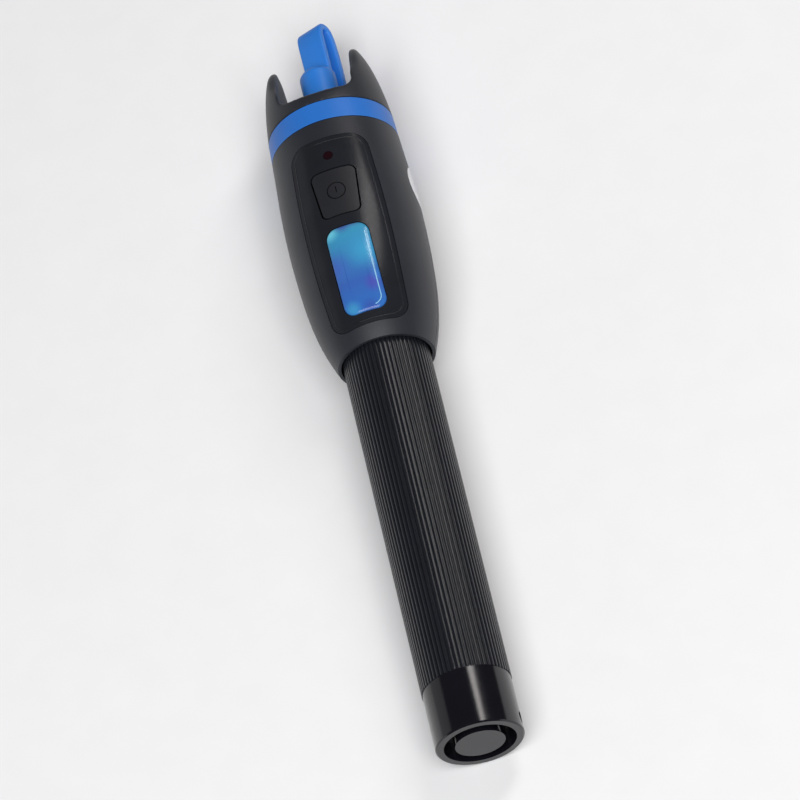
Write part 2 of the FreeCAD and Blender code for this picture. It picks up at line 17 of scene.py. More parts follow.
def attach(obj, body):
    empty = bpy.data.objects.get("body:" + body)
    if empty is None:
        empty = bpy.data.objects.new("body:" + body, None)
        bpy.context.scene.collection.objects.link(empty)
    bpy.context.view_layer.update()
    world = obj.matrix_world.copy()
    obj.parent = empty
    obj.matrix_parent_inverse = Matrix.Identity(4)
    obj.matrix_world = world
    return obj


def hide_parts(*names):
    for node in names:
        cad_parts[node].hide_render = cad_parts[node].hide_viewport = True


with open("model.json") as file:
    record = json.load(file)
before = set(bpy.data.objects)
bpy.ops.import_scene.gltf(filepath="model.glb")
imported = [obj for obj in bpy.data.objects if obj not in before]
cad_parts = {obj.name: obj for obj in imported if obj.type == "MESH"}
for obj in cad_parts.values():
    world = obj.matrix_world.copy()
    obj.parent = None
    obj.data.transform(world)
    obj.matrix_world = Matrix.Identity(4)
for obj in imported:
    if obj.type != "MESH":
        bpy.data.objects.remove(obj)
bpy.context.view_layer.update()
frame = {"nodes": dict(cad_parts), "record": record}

MM = 0.001
PORT_MOUTH = 164.0          # station of the ferrule_port mount
OUTSIDE = 60.0              # a line that starts this far from the pen's axis starts outside everything

# ---- sizes and places on the pen, in millimetres ----
RIB_COUNT = 62

# the dust cap: drum, strap and retaining ring
DRUM_RADIUS, DRUM_START, DRUM_END = 3.95, 155.3, 166.0
DRUM_SHOULDER = 1.5
DRUM_CHAMFER = 0.25
PORT_RADIUS, PORT_END = 3.05, 165.5
NEAR_AXIS = 0.0001          # where a turned outline meets the axis; welding closes what is left
RETAINER_START, RETAINER_END, RETAINER_RADIUS = 154.25, 155.15, 4.7
STRAP_WIDTH, STRAP_THICK, STRAP_CORNER = 6.4, 1.5, 0.5
STRAP_SIDE = 0.2            # how far the strap stands to the right of the cap's middle
STRAP_TURN = 23.5           # degrees that the cap is turned on its port
STRAP_ROUTE = [(164.8, -0.75), (170.5, -0.7), (175.6, -0.65), (177.6, -1.4), (178.1, -2.9), (177.2, -4.2),
               (174.6, -4.9), (170.5, -5.25), (165.5, -5.35), (160.0, -5.4), (156.6, -5.0), (154.7, -4.0)]

# the nose guard, softened all over and much more from the horns' feet to their tips
GUARD_VOXEL = 0.24
GUARD_SOFT_FROM = 151.6
GUARD_PASSES, HORN_PASSES = 4, 34

# the panel: first and last station, half widths at tail, middle and nose, corner radius
PANEL = (94.5, 140.0, 8.0, 9.05, 8.2, 3.6)
PANEL_MIDDLE = 117.0
PANEL_BEVEL = 0.85

# the nameplate: first and last station, half width, corner radius
PLATE = (97.0, 117.2, 4.6, 2.4)
PLATE_ROLL, PLATE_DROP = 0.75, 0.3      # how far in the edge's roll reaches, and how deep it goes
PLATE_SIDE = 0.3                        # height of the plate's upright edge
PLATE_INSETS = [0.0, 0.03, 0.09, 0.18, 0.3, 0.44, 0.6, PLATE_ROLL, 1.2, 1.8, 2.3]
PLATE_LINE, PLATE_LINE_SINK = 0.9, 0.01  # how far the plate's painted highlight lies in from its edge, and down
PLATE_PROBE = 0.5                       # how far from the plate's ends its face is measured
PLATE_FACE = 14.4                       # height of its face over the pen's axis

# the round label on the right side
LABEL_STATION, LABEL_RADIUS, LABEL_THICK = 130.6, 5.25, 0.1
LABEL_ANGLE = 97.0          # degrees from the panel's middle, round to the right
LABEL_EDGE = 0.08           # width of its rounded edge
LABEL_LEVEL = -2.0          # height at which the barrel's side is measured, just under the seam

# the ring's edges, and the painted shade of the gaps there
RING_EDGES = (("ring_gap_tail", 144.6, 1), ("ring_gap_nose", 149.7, -1))
GAP_DEPTH, GAP_PROUD = 0.15, 0.012
GAP_FOOT, GAP_TOP = 0.1, 0.07           # half widths

# the mark in the button
MARK_STATION, MARK_RADIUS = 126.1, 1.95
MARK_BAR = (125.6, 127.1)
MARK_CLEAR = 0.3            # the button's face is measured this far from the mark's own groove
MARK_SINK = 0.02

# half width and height of the fine beads
PANEL_BEAD = (0.16, 0.05)
PLATE_BEAD = (0.11, 0.03)
MARK_BEAD = (0.1, 0.03)
BAR_BEAD = (0.11, 0.02)

# the tail cap's thread
THREAD_START, THREAD_END, THREAD_STEP, THREAD_RADIUS = 15.6, 18.0, 0.75, 7.93
THREAD_SINK, THREAD_PROUD, THREAD_HALF = 0.1, 0.09, 0.3

# how finely round things are divided
BEAD_SIDES = 8
MARK_SIDES = 64
LABEL_SIDES = 72
LATHE_SIDES = 96
RING_SIDES = 160
THREAD_SIDES, THREAD_FADE = 48, 12      # to a turn, and for the run-in at each end


# ---- the pen's own axes ----
def pen_axes():
    """The matrix that takes pen millimetres to the part's frame."""
    port = next(mount for mount in frame["record"]["mounts"] if mount["name"] == "ferrule_port")
    along = Vector(port["axis"]).normalized()
    across = Vector((1, 0, 0))
    axes = Matrix((across, along, across.cross(along))).transposed()
    origin = Vector(port["pos_m"]) - along * PORT_MOUTH * MM
    return Matrix.LocRotScale(origin, axes.to_quaternion(), Vector((MM, MM, MM)))


PEN = pen_axes()
PEN_TILT = PEN.to_euler().x


# ---- material helpers ----
NOISE_LOW, NOISE_HIGH = 0.25, 0.75      # most of a noise's values lie between these
MIX_AMOUNT, MIX_FIRST, MIX_SECOND = 0, 6, 7     # a mix node's sockets, when it mixes colours
MIX_RESULT = 2


def rgb(red, green, blue):
    return (red, green, blue, 1.0)


def scaled(colour, factor):
    """A colour made lighter or darker."""
    return rgb(*(min(1.0, channel * factor) for channel in colour[:3]))


class Finish:
    """A material under construction, with short ways to add its nodes.

    Where a socket is named by a keyword, its underscores stand for spaces.
    """

    def __init__(self, name, **constants):
        self.material = bpy.data.materials.new(name)
        self.material.use_nodes = True
        self.nodes = self.material.node_tree.nodes
        self.links = self.material.node_tree.links
        self.shader = self.nodes["Principled BSDF"]
        self.set(self.shader, constants)
        self.pen = self.pen_coordinates()

    def set(self, node, constants):
        for socket, value in constants.items():
            node.inputs[socket.replace("_", " ")].default_value = value

    def add(self, kind, **constants):
        node = self.nodes.new("ShaderNode" + kind)
        self.set(node, constants)
        return node

    def plug(self, socket, value):
        """Link an output to a socket, or set a constant on it."""
        if isinstance(value, bpy.types.NodeSocket):
            self.links.new(value, socket)
        else:
            socket.default_value = value

    def feed(self, socket, output):
        """Link an output to one of the shader's sockets."""
        self.links.new(output, self.shader.inputs[socket])

    def pen_coordinates(self):
        """Pen millimetres, carried along by whatever body the piece rides on."""
        place = self.add("TexCoord")
        mapping = self.add("Mapping", Location=PEN.translation, Rotation=(PEN_TILT, 0, 0), Scale=(MM, MM, MM))
        mapping.vector_type = "TEXTURE"
        self.links.new(place.outputs["Object"], mapping.inputs["Vector"])
        return mapping.outputs["Vector"]

    def axis(self, name):
        """One of the pen's coordinates."""
        split = self.add("SeparateXYZ")
        self.links.new(self.pen, split.inputs["Vector"])
        return split.outputs[name]

    def noise(self, size, detail=3.0, stretch=(1, 1, 1)):
        """Noise with features of about this size in millimetres, stretched along pen axes."""
        mapping = self.add("Mapping", Scale=[1 / (size * factor) for factor in stretch])
        noise = self.add("TexNoise", Scale=1.0, Detail=detail)
        self.links.new(self.pen, mapping.inputs["Vector"])
        self.links.new(mapping.outputs["Vector"], noise.inputs["Vector"])
        return noise.outputs["Fac"]

    def spread(self, noise, low, high):
        """Turn a noise into a value that runs from low to high."""
        scale = self.add("MapRange", From_Min=NOISE_LOW, From_Max=NOISE_HIGH, To_Min=low, To_Max=high)
        self.links.new(noise, scale.inputs["Value"])
        return scale.outputs["Result"]

    def mix(self, amount, first, second):
        """Blend two colours, each a constant or an output."""
        mixer = self.add("Mix")
        mixer.data_type = "RGBA"
        self.plug(mixer.inputs[MIX_AMOUNT], amount)
        self.plug(mixer.inputs[MIX_FIRST], first)
        self.plug(mixer.inputs[MIX_SECOND], second)
        return mixer.outputs[MIX_RESULT]

    def cloudy(self, colour, size, darker, lighter):
        """A colour that wanders between this much darker and lighter, in clouds of this size."""
        cloud = self.spread(self.noise(size, 2.0), 0.0, 1.0)
        return self.mix(cloud, scaled(colour, 1 - darker), scaled(colour, 1 + lighter))

    def relief(self, height, depth, before=None):
        """Bump of this depth in millimetres from a 0..1 height, on top of the bump before it."""
        bump = self.add("Bump", Strength=1.0, Distance=depth * MM)
        self.links.new(height, bump.inputs["Height"])
        if before is not None:
            self.links.new(before, bump.inputs["Normal"])
        return bump.outputs["Normal"]

    def calculate(self, operation, *values):
        node = self.add("Math")
        node.operation = operation
        for socket, value in zip(node.inputs, values):
            self.plug(socket, value)
        return node.outputs["Value"]


# ---- kinds of material ----
def moulded(name, colour, rough, grain=0.16, depth=0.010, mottle=0.14, **constants):
    """Moulded plastic or rubber: a fine eroded grain, and colour and gloss that wander a little."""
    finish = Finish(name, **constants)
    fine = finish.noise(grain, 4.0)
    finish.feed("Base Color", finish.cloudy(colour, 9.0, mottle, mottle))
    finish.feed("Roughness", finish.spread(fine, rough - 0.05, rough + 0.05))
    finish.feed("Normal", finish.relief(fine, depth))
    return finish.material


def turned_metal(name, colour, rough, depth=0.004, mottle=0.1, **constants):
    """Metal from a lathe: fine rings round the pen's axis under the finish."""
    finish = Finish(name, **constants)
    rings = finish.noise(0.09, 2.0, stretch=(60, 1, 60))
    finish.feed("Base Color", finish.cloudy(colour, 6.0, mottle, mottle))
    finish.feed("Roughness", finish.spread(rings, rough - 0.03, rough + 0.03))
    finish.feed("Normal", finish.relief(rings, depth))
    return finish.material


def ribbed_metal(name, colour, rough, crown=0.09, **constants):
    """Anodised tube; the lands of its ribs are slightly crowned, so that each catches a line of light."""
    finish = Finish(name, **constants)
    angle = finish.calculate("ARCTAN2", finish.axis("X"), finish.axis("Z"))
    wave = finish.calculate("COSINE", finish.calculate("MULTIPLY", angle, float(RIB_COUNT)))
    height = finish.calculate("MULTIPLY_ADD", wave, -0.5, 0.5)
    grain = finish.noise(0.12, 3.0, stretch=(1, 30, 1))
    finish.feed("Base Color", finish.cloudy(colour, 7.0, 0.15, 0.0))
    finish.feed("Roughness", finish.spread(grain, rough - 0.04, rough + 0.04))
    finish.feed("Normal", finish.relief(grain, 0.0008, before=finish.relief(height, crown)))
    return finish.material


# the plate's print: its colours at tail, at this share of its length, and at nose
PRINT_TAIL, PRINT_MIDDLE, PRINT_NOSE = rgb(0.035, 0.165, 0.52), rgb(0.045, 0.13, 0.46), rgb(0.05, 0.33, 0.52)
PRINT_MIDDLE_AT = 0.35
# the soft spots of colour on it: x, station, reach, colour
PRINT_POOLS = [
    (-3.8, 116.5, 2.8, rgb(0.16, 0.60, 0.75)),
    (-0.6, 117.8, 3.0, rgb(0.07, 0.06, 0.33)),
    (2.0, 118.0, 2.4, rgb(0.08, 0.14, 0.36)),
    (3.0, 110.5, 5.5, rgb(0.055, 0.34, 0.60)),
    (-4.6, 108.0, 5.0, rgb(0.06, 0.14, 0.50)),
    (3.0, 102.6, 3.0, rgb(0.09, 0.07, 0.44)),
    (1.2, 97.0, 3.6, rgb(0.05, 0.02, 0.28)),
    (-3.2, 97.6, 3.4, rgb(0.10, 0.60, 0.72)),
    (4.6, 104.0, 2.4, rgb(0.03, 0.27, 0.70)),
]


def nameplate_print():
    """Glossy domed plate over a soft print that runs from cyan at the nose to royal blue at the tail."""
    finish = Finish("plate_gradient", Roughness=0.16, Specular_IOR_Level=0.3, Coat_Weight=0.12,
                    Coat_Roughness=0.06)
    start, end = PLATE[:2]
    along = finish.add("MapRange", From_Min=start, From_Max=end)
    finish.links.new(finish.axis("Y"), along.inputs["Value"])
    ramp = finish.add("ValToRGB")
    finish.links.new(along.outputs["Result"], ramp.inputs["Fac"])
    stops = ramp.color_ramp.elements
    stops[0].color = PRINT_TAIL
    stops[1].color = PRINT_NOSE
    stops.new(PRINT_MIDDLE_AT).color = PRINT_MIDDLE
    colour = ramp.outputs["Color"]
    for x, station, reach, shade in PRINT_POOLS:
        colour = finish.mix(pool(finish, x, station, reach), colour, shade)
    finish.feed("Base Color", colour)
    return finish.material


def pool(finish, x, station, reach):
    """1 at a place on the plate, falling smoothly to 0 at this distance."""
    spot = finish.add("VectorMath")
    spot.operation = "DISTANCE"
    finish.plug(spot.inputs[0], finish.pen)
    finish.plug(spot.inputs[1], (x, station, PLATE_FACE))
    fall = finish.add("MapRange", From_Min=0.0, From_Max=reach, To_Min=1.0, To_Max=0.0)
    fall.interpolation_type = "SMOOTHSTEP"
    finish.links.new(spot.outputs["Value"], fall.inputs["Value"])
    return fall.outputs["Result"]


def lamp_lens():
    """Dark red lens of the unlit lamp."""
    finish = Finish("lamp_lens_red", Roughness=0.15, Transmission_Weight=0.1, Coat_Weight=0.5)
    cloud = finish.noise(0.5, 1.0)
    finish.feed("Base Color", finish.mix(cloud, rgb(0.008, 0.002, 0.004), rgb(0.020, 0.003, 0.006)))
    return finish.material


def glass_lens():
    """Clear glass of the focus lens."""
    finish = Finish("lens_clear", Roughness=0.02, Transmission_Weight=0.9, IOR=1.52)
    cloud = finish.noise(3.0, 1.0)
    finish.feed("Base Color", finish.mix(cloud, rgb(0.86, 0.93, 0.96), rgb(0.92, 0.96, 0.98)))
    return finish.material


# ---- finishes, by the record's slots ----
def outer_finishes():
    """What is seen from outside."""
    return {
        "cap_black": turned_metal("cap_anodised", rgb(0.006, 0.006, 0.009), 0.15, Specular_IOR_Level=0.55),
        "tube_black": ribbed_metal("tube_anodised", rgb(0.012, 0.0135, 0.018), 0.28,
                                   Specular_IOR_Level=0.36),
        "soft_black": moulded("shell_soft_touch", rgb(0.020, 0.0225, 0.0295), 0.46, grain=0.13, depth=0.012,
                              Specular_IOR_Level=0.42),
        "gloss_black": moulded("panel_gloss", rgb(0.017, 0.0185, 0.023), 0.2, grain=0.7, depth=0.002,
                               Specular_IOR_Level=0.16),
        "button_black": moulded("button_plastic", rgb(0.018, 0.019, 0.023), 0.45, grain=0.14, depth=0.008,
                                Specular_IOR_Level=0.35),
        "lamp_red": lamp_lens(),
        "plate_blue": nameplate_print(),
        "label_white": moulded("label_vinyl", rgb(0.80, 0.81, 0.84), 0.38, grain=0.4, depth=0.003,
                               mottle=0.02),
        "ring_blue": moulded("ring_plastic", rgb(0.026, 0.172, 0.60), 0.42, grain=0.2, depth=0.006,
                             mottle=0.06, Specular_IOR_Level=0.3),
        "cap_blue": moulded("cap_soft_rubber", rgb(0.026, 0.21, 0.70), 0.45, grain=0.3, depth=0.006,
                            mottle=0.08, Subsurface_Weight=0.15, Subsurface_Scale=0.001),
        "port_metal": turned_metal("port_nickel", rgb(0.58, 0.57, 0.55), 0.26, Metallic=1.0),
        "sleeve_ceramic": moulded("sleeve_zirconia", rgb(0.80, 0.80, 0.76), 0.22, grain=0.5, depth=0.002),
        "seal_rubber": moulded("seal_rubber_black", rgb(0.012, 0.012, 0.012), 0.45),
    }


def inner_finishes():
    """What is hidden inside until the pen comes apart."""
    return {
        "spring_steel": turned_metal("spring_nickel", rgb(0.55, 0.54, 0.52), 0.28, Metallic=1.0),
        "cell_jacket": moulded("cell_wrapper", rgb(0.10, 0.13, 0.20), 0.30, grain=0.6, depth=0.003),
        "insulator": moulded("insulator_plastic", rgb(0.05, 0.05, 0.055), 0.5),
        "contact_brass": turned_metal("contact_plating", rgb(0.72, 0.52, 0.22), 0.25, Metallic=1.0),
        "board_green": moulded("board_lacquer", rgb(0.015, 0.14, 0.06), 0.28, grain=0.5, depth=0.006),
        "screw_steel": turned_metal("screw_zinc", rgb(0.50, 0.50, 0.50), 0.32, Metallic=1.0),
        "chip_black": moulded("chip_resin", rgb(0.03, 0.03, 0.03), 0.55),
        "diode_metal": turned_metal("diode_can", rgb(0.60, 0.56, 0.45), 0.25, Metallic=1.0),
        "lens_glass": glass_lens(),
    }


def dress_nodes(materials):
    """Give every CAD node the finish of its slot."""
    for part in frame["record"]["subparts"]:
        for slot in frame["nodes"][part["node"]].material_slots:
            slot.material = materials[part["material_slot"]]


# ---- studio ----
CAMERA_PLACE = PEN @ Vector((105.395, -429.881, 852.424))
CAMERA_AIM = PEN @ Vector((0.269, 83.642, -3.763))
CAMERA_ROLL = math.radians(-26.381)
LENS_MM = 217.107
SENSOR_MM = 36.0
CAMERA_NEAR = 0.05
WHITE, WARM_WHITE = (1, 1, 1), (1.0, 0.95, 0.93)
# azimuth and elevation in degrees and distance, then width, height and watts
KEY_BOX = (176, 58, 1.5, 1.3, 1.1, 24.0)
LEFT_BOX = (-60, 15, 0.9, 0.8, 0.5, 0.55)
RIGHT_STRIP = (47, 48, 0.8, 0.16, 0.42, 1.5)
SKY_COLOUR, SKY_STRENGTH = rgb(0.93, 0.95, 1.0), 0.035
FLOOR_HALF = 3.0
FLOOR_DROP = 0.0002         # keeps the floor just clear of the pen


def link(name, data):
    """A new object in the scene."""
    thing = bpy.data.objects.new(name, data)
    bpy.context.scene.collection.objects.link(thing)
    return thing


def facing(place, target):
    """The matrix of a camera or light at place that looks at target."""
    look = (target - place).to_track_quat("-Z", "Y").to_matrix().to_4x4()
    return Matrix.Translation(place) @ look


def add_camera():
    """The photograph's view of the pen."""
    data = bpy.data.cameras.new("camera")
    data.sensor_width = SENSOR_MM
    data.lens = LENS_MM
    data.clip_start = CAMERA_NEAR
    camera = link("camera", data)
    camera.matrix_world = facing(CAMERA_PLACE, CAMERA_AIM) @ Matrix.Rotation(CAMERA_ROLL, 4, "Z")
    bpy.context.scene.camera = camera


def add_light(name, azimuth, elevation, distance, width, height, watts, colour=WHITE):
    """A soft box that faces the pen; azimuth 0 is +Y and turns towards +X."""
    turn, rise = math.radians(azimuth), math.radians(elevation)
    flat = distance * math.cos(rise)
    place = Vector((flat * math.sin(turn), flat * math.cos(turn), distance * math.sin(rise)))
    data = bpy.data.lights.new(name, "AREA")
    data.shape = "RECTANGLE"
    data.size, data.size_y = width, height
    data.energy = watts
    data.color = colour
    link(name, data).matrix_world = facing(place, Vector())


def add_floor():
    """A pale sheet under the pen, wide enough for every view."""
    corners = [(x * FLOOR_HALF, y * FLOOR_HALF, 0) for x, y in ((-1, -1), (1, -1), (1, 1), (-1, 1))]
    mesh = bpy.data.meshes.new("floor")
    mesh.from_pydata(corners, [], [(0, 1, 2, 3)])
    mesh.materials.append(moulded("floor_paper", rgb(0.93, 0.93, 0.94), 0.7, grain=2.0, depth=0.002,
                                  mottle=0.01))
    floor = link("floor", mesh)
    floor.location.z = -FLOOR_DROP


def add_sky():
    """A faint even light from all round."""
    world = bpy.data.worlds.new("studio")
    bpy.context.scene.world = world
    world.use_nodes = True
    background = world.node_tree.nodes["Background"]
    background.inputs["Color"].default_value = SKY_COLOUR
    background.inputs["Strength"].default_value = SKY_STRENGTH


def add_studio():
    """A large key from behind the camera, a low box on the left and a bright strip high on the right."""
    add_camera()
    add_sky()
    add_floor()
    add_light("key_box", *KEY_BOX)
    add_light("left_box", *LEFT_BOX)
    add_light("right_strip", *RIGHT_STRIP, colour=WARM_WHITE)


# ---- mesh tools ----
WELD = 1e-7                 # metres
CAD_WELD = 2e-6             # metres; closes the seams between a CAD mesh's faces
SHARP_ANGLE = math.radians(38)


@contextmanager
def editing(mesh):
    """The mesh open for bmesh operations; what they change is written back at the end."""
    shape = bmesh.new()
    shape.from_mesh(mesh)
    yield shape
    shape.to_mesh(mesh)
    shape.free()


def pen_mesh(name, points, faces):
    """A mesh whose points are given in pen millimetres."""
    mesh = bpy.data.meshes.new(name)
    mesh.from_pydata([PEN @ Vector(point) for point in points], [], faces)
    return mesh


def make_piece(name, form, material, node):
    """A closed form, as points and faces in pen millimetres, that rides where the named CAD node rides."""
    return finish_piece(name, pen_mesh(name, *form), material, node)


def finish_piece(name, mesh, material, node):
    """Clean a mesh, dress it and let it ride with its node's body."""
    with editing(mesh) as shape:
        bmesh.ops.remove_doubles(shape, verts=shape.verts, dist=WELD)
        bmesh.ops.recalc_face_normals(shape, faces=shape.faces)
    mesh.materials.clear()
    mesh.materials.append(material)
    mesh.shade_smooth()
    mesh.set_sharp_from_angle(angle=SHARP_ANGLE)
    piece = link(name, mesh)
    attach(piece, body_of(node))
    return piece


def body_of(node):
    bodies = frame["record"]["behaviour"]["bodies"]
    return next(body for body, nodes in bodies.items() if node in nodes)


def turns(count):
    """Angles that divide a full turn evenly."""
    return [2 * math.pi * n / count for n in range(count)]


def skin(rings, closed_path=False):
    """Points and faces of a tube through rings of equal length, its ends closed unless it is a loop."""
    count = len(rings[0])
    points = [point for ring in rings for point in ring]
    faces = []
    for low in range(len(rings) if closed_path else len(rings) - 1):
        high = (low + 1) % len(rings)
        for n in range(count):
            after = (n + 1) % count
            faces.append((low * count + n, low * count + after, high * count + after, high * count + n))
    if not closed_path:
        faces.append(tuple(range(count)))
        faces.append(tuple(range(len(points) - count, len(points))))
    return points, faces


def lathe(outline, sides=LATHE_SIDES):
    """A closed outline of (radius, station) corners turned about the pen's axis."""
    rings = [[(radius * math.sin(turn), station, radius * math.cos(turn)) for radius, station in outline]
             for turn in turns(sides)]
    return skin(rings, closed_path=True)


def arc(centre, radius, start, end, steps=8):
    """Points on an arc about centre, in degrees."""
    angles = [math.radians(start + (end - start) * n / steps) for n in range(steps + 1)]
    return [(centre[0] + radius * math.cos(angle), centre[1] + radius * math.sin(angle)) for angle in angles]


def rounded_rectangle(half_width, half_height, corner, steps):
    """Its outline, from the right-hand side round by the top."""
    x, y = half_width - corner, half_height - corner
    outline = []
    for n, middle in enumerate(((x, y), (-x, y), (-x, -y), (x, -y))):
        outline += arc(middle, corner, 90 * n, 90 * (n + 1), steps)
    return outline


def rounded_outline(half_at, start, end, corner, corner_steps=12, side_steps=40, end_steps=16):
    """Right side, nose, left side and tail of an outline whose half width varies along the pen."""
    stations = [start + corner + (end - start - 2 * corner) * n / side_steps for n in range(1, side_steps)]
    right = [(half_at(station), station) for station in stations]
    left = [(-x, station) for x, station in reversed(right)]
    nose, tail = half_at(end - corner) - corner, half_at(start + corner) - corner
    across = [1 - 2 * n / end_steps for n in range(1, end_steps)]
    return (right + arc((nose, end - corner), corner, 0, 90, corner_steps)
            + [(nose * share, end) for share in across]
            + arc((-nose, end - corner), corner, 90, 180, corner_steps)
            + left + arc((-tail, start + corner), corner, 180, 270, corner_steps)
            + [(-tail * share, start) for share in across]
            + arc((tail, start + corner), corner, 270, 360, corner_steps))


def smooth_route(places, steps=8):
    """A smooth line through the given places (Catmull-Rom)."""
    places = [Vector(place) for place in places]
    padded = [2 * places[0] - places[1]] + places + [2 * places[-1] - places[-2]]
    line = []
    for a, b, c, d in zip(padded, padded[1:], padded[2:], padded[3:]):
        for step in range(steps):
            t = step / steps
            line.append(0.5 * (2 * b + (c - a) * t + (2 * a - 5 * b + 4 * c - d) * t * t
                               + (3 * b - a - 3 * c + d) * t * t * t))
    return line + [places[-1]]


def bead(line, half_width, height, loop=True):
    """A low bead that follows a line on the barrel."""
    rings = []
    last = len(line) - 1
    for n, place in enumerate(line):
        after = line[(n + 1) % len(line)] if loop else line[min(n + 1, last)]
        before = line[n - 1] if loop else line[max(n - 1, 0)]
        ahead = (after - before).normalized()
        across = ahead.cross(Vector((place.x, 0, place.z))).normalized()
        out = across.cross(ahead)
        rings.append([place + math.cos(turn) * across * half_width + math.sin(turn) * out * height
                      for turn in turns(BEAD_SIDES)])
    return skin(rings, closed_path=loop)


def through_three(places):
    """The quadratic through three (station, value) places."""
    def value(station):
        total = 0.0
        for a, height in places:
            others = [b for b, _ in places if b != a]
            total += height * math.prod((station - b) / (a - b) for b in others)
        return total
    return value


def loose(name, points, faces):
    """A closed form that only serves to make a piece."""
    mesh = pen_mesh(name, points, faces)
    with editing(mesh) as shape:
        bmesh.ops.recalc_face_normals(shape, faces=shape.faces)
    return link(name, mesh)


def settle(thing, used=()):
    """The thing's mesh with its modifiers applied; it and what they used are taken away."""
    bpy.context.view_layer.update()
    mesh = bpy.data.meshes.new_from_object(thing.evaluated_get(bpy.context.evaluated_depsgraph_get()))
    for spent in [thing, *used]:
        bpy.data.objects.remove(spent)
    return mesh


def join(base, others):
    """One mesh of closed forms that overlap."""
    for other in others:
        union = base.modifiers.new("fuse", "BOOLEAN")
        union.operation = "UNION"
        union.solver = "EXACT"
        union.object = other
    return settle(base, others)


def soften(mesh, passes, first_station=-math.inf):
    """Round the mesh's edges from a station to the nose."""
    to_pen = PEN.inverted()
    with editing(mesh) as shape:
        chosen = [vertex for vertex in shape.verts if (to_pen @ vertex.co).y > first_station]
        for _ in range(passes):
            bmesh.ops.smooth_vert(shape, verts=chosen, factor=0.5,
                                  use_axis_x=True, use_axis_y=True, use_axis_z=True)


def cad_mesh(node, matrix=Matrix()):
    """A copy of a CAD node's mesh, in the part's frame or taken from it by a matrix."""
    source = frame["nodes"][node]
    mesh = source.data.copy()
    mesh.transform(matrix @ source.matrix_world)
    return mesh


def cad_surface(node):
    """A CAD node's surface in pen millimetres, for finding where straight lines meet it."""
    mesh = cad_mesh(node, PEN.inverted())
    points = [vertex.co[:] for vertex in mesh.vertices]
    faces = [tuple(face.vertices) for face in mesh.polygons]
    bpy.data.meshes.remove(mesh)
    return BVHTree.FromPolygons(points, faces)


def top_of(node):
    """A function that gives the place on a CAD node's outside over an x and a station."""
    surface = cad_surface(node)
    return lambda x, station: surface.ray_cast(Vector((x, station, OUTSIDE)), Vector((0, 0, -1)))[0]


# ---- fine pieces ----
def strap():
    """The flat strap, along its route and turned with the cap."""
    section = rounded_rectangle(STRAP_WIDTH / 2, STRAP_THICK / 2, STRAP_CORNER, 4)
    line = smooth_route(STRAP_ROUTE)
    turn = math.radians(STRAP_TURN)
    rings = []
    for n, place in enumerate(line):
        ahead = (line[min(n + 1, len(line) - 1)] - line[max(n - 1, 0)]).normalized()
        ring = []
        for side, out in section:
            x = side + STRAP_SIDE
            station, height = place.x - ahead.y * out, place.y + ahead.x * out
            ring.append((x * math.cos(turn) - height * math.sin(turn), station,
                         x * math.sin(turn) + height * math.cos(turn)))
        rings.append(ring)
    return skin(rings)


def add_dust_cap(material):
    """The moulded cap: a drum on the port, and a strap over its top to a ring round the port's foot."""
    shoulder = arc((DRUM_RADIUS - DRUM_SHOULDER, DRUM_END - DRUM_SHOULDER), DRUM_SHOULDER, 0, 90)
    outline = [(PORT_RADIUS, DRUM_START), (DRUM_RADIUS - DRUM_CHAMFER, DRUM_START),
               (DRUM_RADIUS, DRUM_START + DRUM_CHAMFER), *shoulder,
               (NEAR_AXIS, DRUM_END), (NEAR_AXIS, PORT_END), (PORT_RADIUS, PORT_END)]
    retainer = [(PORT_RADIUS, RETAINER_START), (RETAINER_RADIUS, RETAINER_START),
                (RETAINER_RADIUS, RETAINER_END), (PORT_RADIUS, RETAINER_END)]
    drum = loose("drum", *lathe(outline))
    others = [loose("strap", *strap()), loose("retainer", *lathe(retainer))]
    cap = finish_piece("moulded_dust_cap", join(drum, others), material, "dust_cap")
    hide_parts("dust_cap")


def add_nose_guard(material):
    """The guard with the softened edges of a moulding, taken from its own solid."""
    mesh = cad_mesh("nose_guard")
    with editing(mesh) as shape:
        bmesh.ops.remove_doubles(shape, verts=shape.verts, dist=CAD_WELD)
    blank = link("blank_guard", mesh)
    remesh = blank.modifiers.new("even", "REMESH")
    remesh.mode = "VOXEL"
    remesh.voxel_size = GUARD_VOXEL * MM
    mesh = settle(blank)
    soften(mesh, GUARD_PASSES)
    soften(mesh, HORN_PASSES, GUARD_SOFT_FROM)
    guard = finish_piece("moulded_nose_guard", mesh, material, "nose_guard")
    guard.data.shade_smooth()
    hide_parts("nose_guard")


def plate_face():
    """A function that gives the place on the nameplate's face at an x and a station, lowered by a drop."""
    start, end = PLATE[:2]
    top = top_of("nameplate")
    stations = (start + PLATE_PROBE, (start + end) / 2, end - PLATE_PROBE)
    radius = through_three([(station, top(0.0, station).z) for station in stations])
    return lambda x, station, drop: Vector((x, station, math.sqrt(radius(station) ** 2 - x * x) - drop))


def add_nameplate(material):
    """The domed plate: its surface from the solid, its edges rolled down all round."""
    start, end, half, corner = PLATE
    face = plate_face()
    rings = []
    for inset in PLATE_INSETS:
        # a quarter-round from the plate's side up to its face
        left = max(0.0, 1 - inset / PLATE_ROLL)
        drop = PLATE_DROP * (1 - math.sqrt(1 - left * left))
        outline = rounded_outline(lambda _: half - inset, start + inset, end - inset, corner - inset)
        rings.append([face(x, station, drop) for x, station in outline])
    foot = [place - Vector((0, 0, PLATE_SIDE)) for place in rings[0]]
    plate = make_piece("domed_nameplate", skin([foot] + rings), material, "nameplate")
    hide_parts("nameplate")


